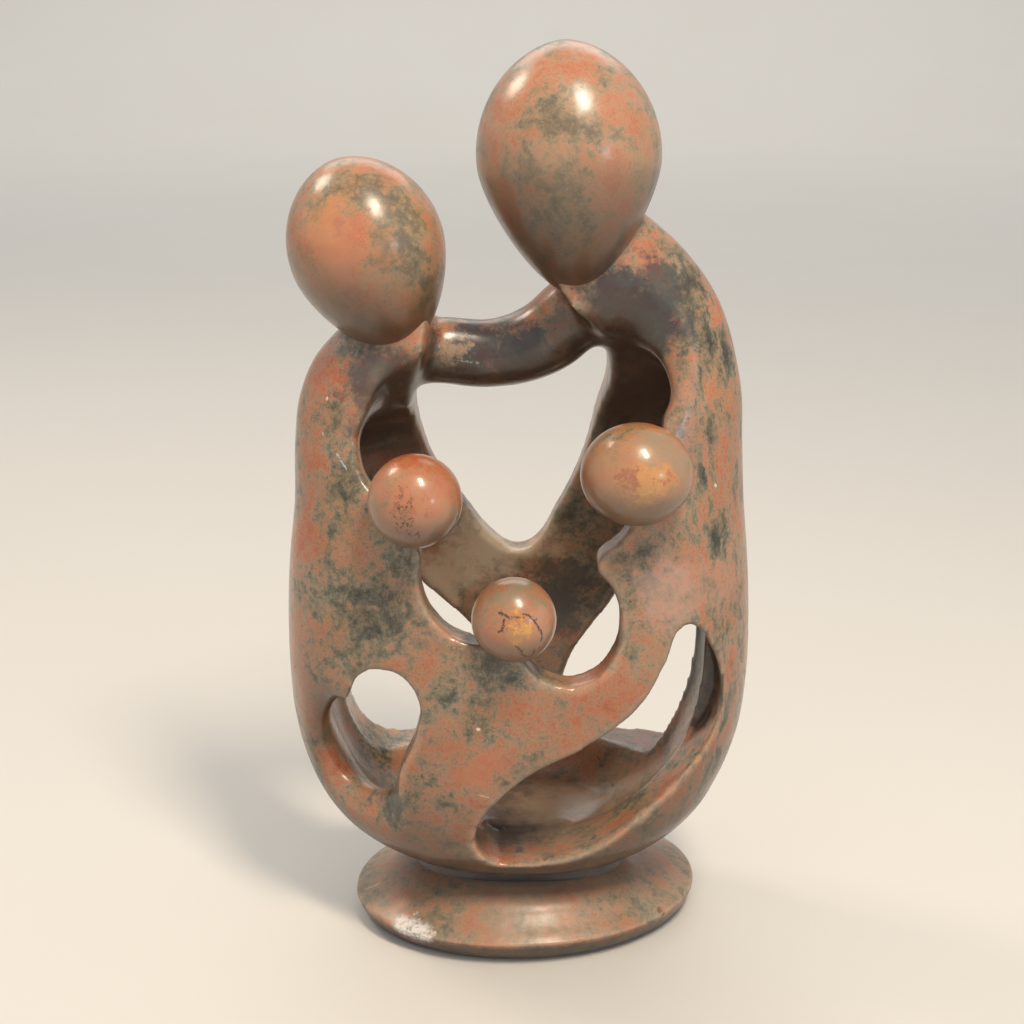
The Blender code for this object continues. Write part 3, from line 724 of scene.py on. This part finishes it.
# Marks on the children's heads: across and up from the middle of the head, in mm, seen from the front.
children = {
    "left_child": {
        "at": (-0.421, 0.600, -0.88), "radius": 0.0147, "shape": (1, 1, 1), "orange": 0.9, "from": 0.42,
        "patches": (((0, 0), 19, (186, 102, 62), 0.6), ((-3, 0), 9, (190, 92, 40), 0.75),
                    ((-2.5, -0.7), 6.5, (140, 76, 28), 0.8),
                    ((-4.6, 4.4), 2.2, (88, 44, 22), 0.8), ((-0.1, -4.0), 2.2, (62, 52, 46), 0.8),
                    ((-5.4, 0.0), 1.8, (84, 50, 44), 0.8), ((0.0, -7.3), 2.4, (118, 44, 24), 0.7),
                    ((1.8, 2.4), 2.0, (170, 60, 34), 0.7), ((-2.3, -1.0), 1.5, (240, 140, 40), 0.95),
                    ((12, -4), 7, (120, 108, 92), 0.6), ((5, -12), 7, (110, 100, 86), 0.6)),
        "lines": (), "pits": (((-3.2, -0.6), 7.5), ((-1.0, -5.5), 4.5)),
    },
    "middle_child": {
        "at": (-0.033, 0.433, -0.96), "radius": 0.0134, "shape": (1, 1, 1), "orange": 0.5, "from": 0.41,
        "patches": (((0, -3), 15, (186, 110, 70), 0.5), ((0.3, 12.0), 11, (132, 120, 94), 0.8),
                    ((9.6, 4.6), 7, (178, 124, 100), 0.6), ((-7.4, -2.6), 8, (186, 84, 38), 0.8),
                    ((1.9, -0.4), 8.6, (186, 112, 30), 0.9),
                    ((2.6, 1.2), 4.4, (220, 158, 50), 0.85), ((5.0, -8.0), 4.5, (150, 76, 34), 0.7)),
        "pits": (((5.2, -8.0), 3.5), ((-3.4, 3.6), 2.6)),
        "lines": (((2.8, 6.2), (4.6, 5.6), (6.2, 3.8), (7.7, 1.3), (8.7, -1.2), (8.4, -3.3)),
                  ((5.2, 5.1), (6.8, 4.2)), ((-4.6, 6.3), (-2.7, 5.8), (-1.1, 5.2), (1.1, 5.4), (2.8, 5.2)),
                  ((-3.0, 4.5), (-3.3, 2.7), (-3.7, 1.4), (-4.9, 0.6)),
                  ((0.6, -3.8), (2.2, -5.7), (2.8, -7.9), (4.7, -9.5), (6.2, -7.6), (6.2, -5.8))),
    },
    "right_child": {
        "at": (0.447, 0.637, -0.86), "radius": 0.0165, "shape": (1.06, 1, 0.97), "orange": 0.7, "from": 0.40,
        "patches": (((0, 0), 22, (180, 118, 72), 0.6), ((6.1, 12.0), 9, (136, 124, 98), 0.7),
                    ((13, 5), 7, (136, 120, 96), 0.6), ((2.8, 0.5), 11, (202, 136, 52), 0.85),
                    ((-2.8, 4.0), 4.2, (146, 60, 30), 0.85),
                    ((-2.3, -0.2), 3.2, (150, 74, 40), 0.7), ((6.1, 1.6), 3.8, (166, 66, 22), 0.85),
                    ((6.0, -3.4), 3.0, (176, 84, 32), 0.75), ((1.5, -4.0), 3.5, (222, 168, 84), 0.6)),
        "lines": (), "pits": (),
    },
}
childSkin = {"redToGreen": 0.29, "coatRough": 0.11, "wash": (240, 224, 194)}
crack = {"width": 0.6, "tone": (44, 34, 42), "strength": 0.85}


def onHead(spec, across, up):  # a point of the front of a child's head, in mm
    middle, radii = place(*spec["at"]) * 1000, [spec["radius"] * share * 1000 for share in spec["shape"]]
    deep = max(1 - (across / radii[0]) ** 2 - (up / radii[2]) ** 2, 0.02)
    return (middle.x + across, middle.y - radii[1] * math.sqrt(deep), middle.z + up)


for name, spec in children.items():
    radii = [spec["radius"] * share for share in spec["shape"]]
    patches = [(onHead(spec, *at), *rest) for at, *rest in spec["patches"]]
    cracks = [([onHead(spec, *at) for at in points], crack["width"], crack["tone"], crack["strength"])
              for points in spec["lines"]]
    holes = [(onHead(spec, *at), radius) for at, radius in spec["pits"]]
    skin = {"orange": spec["orange"], "from": spec["from"], "to": spec["from"] + childSkin["redToGreen"],
            "coatRough": childSkin["coatRough"], "wash": childSkin["wash"]}
    made = ellipsoid(name, place(*spec["at"]), radii)
    finished(made, stoneMaterial(name + "_stone", skin, patches=patches, lines=cracks, pits=holes))
    markEdges(made)
print("heads set")


# height share, width share
baseProfile = ((0.00, 0.905), (0.03, 0.935), (0.12, 0.968), (0.26, 0.990), (0.37, 1.000), (0.43, 0.992),
               (0.475, 0.965), (0.60, 0.875), (0.76, 0.770), (0.90, 0.670), (1.00, 0.560))
# a bruise on the front left of its edge and a nick on the right: place, radius, depth in mm
baseChips = (((-37.8, -34.4, 9.0), 5.6, 1.1), ((-33.5, -36.6, 8.0), 3.2, 0.8), ((48.2, -23.4, 8.6), 2.2, 1.3))


def chip(point):  # crumbles a point of the base inwards where it was knocked
    for at, radius, depth in baseChips:
        away = (point * 1000 - Vector(at)).length / radius
        if away < 1:
            crumble = 0.6 + 0.7 * noise.noise(point * 900) + 0.5 * noise.noise(point * 2600)
            inward = Vector((point.x, point.y, 0.004)).normalized()
            point = point - inward * max(crumble, 0.1) * depth / 1000 * (1 - away * away)
    return point


def baseForm():
    rings = []
    for up in np.linspace(0, 1, base["rows"]):
        share = float(readTable(baseProfile, up)[0])
        halfWidth, halfDepth = share * base["width"] / 2, share * base["depth"] / 2
        rings.append((up * base["height"], base["right"] - halfWidth, base["right"] + halfWidth,
                      halfDepth, base["back"] * (1 - up)))
    made = loft("carved_base", rings, squareness=base["squareness"], around=base["around"])
    for vertex in made.data.vertices:
        vertex.co.x += base["skew"] * vertex.co.y
        vertex.co = chip(vertex.co.copy())
    return made


# painted shadow of the body on the base round the stem: place, radius, depth
baseShades = (((0, 0, 22), 36, 0.6), ((0, -14, 20), 30, 0.45))
basePatches = (((-37.8, -34.4, 9.2), 5.4, (232, 222, 212), 0.95),
               ((-33.2, -36.8, 8.4), 3.6, (236, 228, 220), 0.9), ((0, -38, 10), 26, (178, 138, 108), 0.3))
baseLines = (  # the white stone of the bruise, and a scratch
    (((-41.0, -32.2, 9.4), (-37.5, -34.8, 9.0), (-33.0, -37.0, 8.2)), 4.6, (246, 240, 232), 1.0),
    (((-54.4, -10.4, 9.6), (-52, -10.2, 11), (-49.8, -10.0, 12.2)), 0.9, (206, 186, 160), 0.7),
)
# foot: painted shade on the lowest band of the base
baseFinish = {"rough": 0.36, "coat": 0.15, "dust": 0.25, "shift": (0, 0, 4), "foot": (0.0085, 0.001, 0.55)}
baseStone = stoneMaterial("base_stone", baseFinish, shades=baseShades, patches=basePatches, lines=baseLines)
basePiece = finished(baseForm(), baseStone)
markEdges(basePiece)
print("base set")

for old in list(workShapes.objects):
    bpy.data.objects.remove(old)
bpy.data.collections.remove(workShapes)


# Floor, light and camera.
studio = {
    "floor": (216, 211, 202), "floorMottle": (221, 217, 209), "floorRough": 0.6,
    "reach": 12.0, "bend": 3.5, "bendRadius": 1.5, "bendSteps": 24,
    "sky": (0.96, 0.97, 1.0), "skyStrength": 0.50,
    "cameraAt": (-0.0032, -0.530, 0.306), "cameraDown": 16.8,
    "sensor": 36, "focalPixels": 1650, "frame": 1024,
}
lamps = (  # name, place, aim, power, size, colour, seen in the polish
    ("overhead", (0.24, -0.46, 1.04), (0, 0, 0.15), 8.4, (0.16, 0.34), (1.0, 0.86, 0.68), True),
    ("behind_left", (-0.75, 0.42, 1.05), (0, 0, 0.15), 3.8, (0.30, 0.30), (1.0, 0.88, 0.72), True),
    ("far", (0, 4.2, 3.2), (0, 3.6, 0), 70.0, (5.0, 3.0), (1.0, 0.97, 0.93), True),
    ("front", (-0.15, -1.2, 1.1), (0, 0, 0.15), 1.4, (1.4, 0.9), (1.0, 0.96, 0.9), False),
    ("low_right", (0.95, -0.95, 0.42), (0, 0, 0.15), 1.1, (0.16, 0.16), (0.75, 0.84, 1.0), True),
)

floorMesh = bpy.data.meshes.new("floor")
sweep = [(-studio["reach"], 0.0), (studio["bend"], 0.0)]  # flat, then bent up far behind
for turn in np.linspace(0, math.pi / 2, studio["bendSteps"] + 1)[1:]:
    sweep.append((studio["bend"] + studio["bendRadius"] * math.sin(turn),
                  studio["bendRadius"] * (1 - math.cos(turn))))
floorMesh.from_pydata([(side * studio["reach"], y, z) for y, z in sweep for side in (-1, 1)], [],
                      [(2 * i, 2 * i + 1, 2 * i + 3, 2 * i + 2) for i in range(len(sweep) - 1)])
floor = newObject("floor", floorMesh)
smoothShading(floor)
floorPaint = Paint("pale_floor")
floorSpot = floorPaint.node("TexCoord", out=3)
floorPaint.feed(floorPaint.shader.inputs["Base Color"],
                floorPaint.mix(floorPaint.noise(floorSpot, 3.0), tone(*studio["floor"]),
                               tone(*studio["floorMottle"])))
floorPaint.shader.inputs["Roughness"].default_value = studio["floorRough"]
floor.data.materials.append(floorPaint.material)

world = bpy.data.worlds.new("studio")
scene.world = world
world.use_nodes = True
world.node_tree.nodes["Background"].inputs[0].default_value = (*studio["sky"], 1)
world.node_tree.nodes["Background"].inputs[1].default_value = studio["skyStrength"]


def softLight(name, at, aim, power, size, colour, polish):
    lamp = bpy.data.lights.new(name, "AREA")
    lamp.shape, lamp.size, lamp.size_y = "RECTANGLE", size[0], size[1]
    lamp.energy, lamp.color = power, colour
    made = newObject(name, lamp)
    made.location = at
    made.rotation_mode = "QUATERNION"
    made.rotation_quaternion = (Vector(aim) - Vector(at)).to_track_quat("-Z", "Y")
    made.visible_glossy = polish


for lamp in lamps:
    softLight(*lamp)

scene.view_settings.view_transform = "Standard"
lens = bpy.data.cameras.new("camera")
lens.sensor_width = studio["sensor"]
lens.lens = studio["sensor"] * studio["focalPixels"] / studio["frame"]
camera = newObject("camera", lens)
camera.location = studio["cameraAt"]
camera.rotation_euler = (math.radians(90 - studio["cameraDown"]), 0, 0)
scene.camera = camera
print("studio set")

bpy.context.view_layer.update()
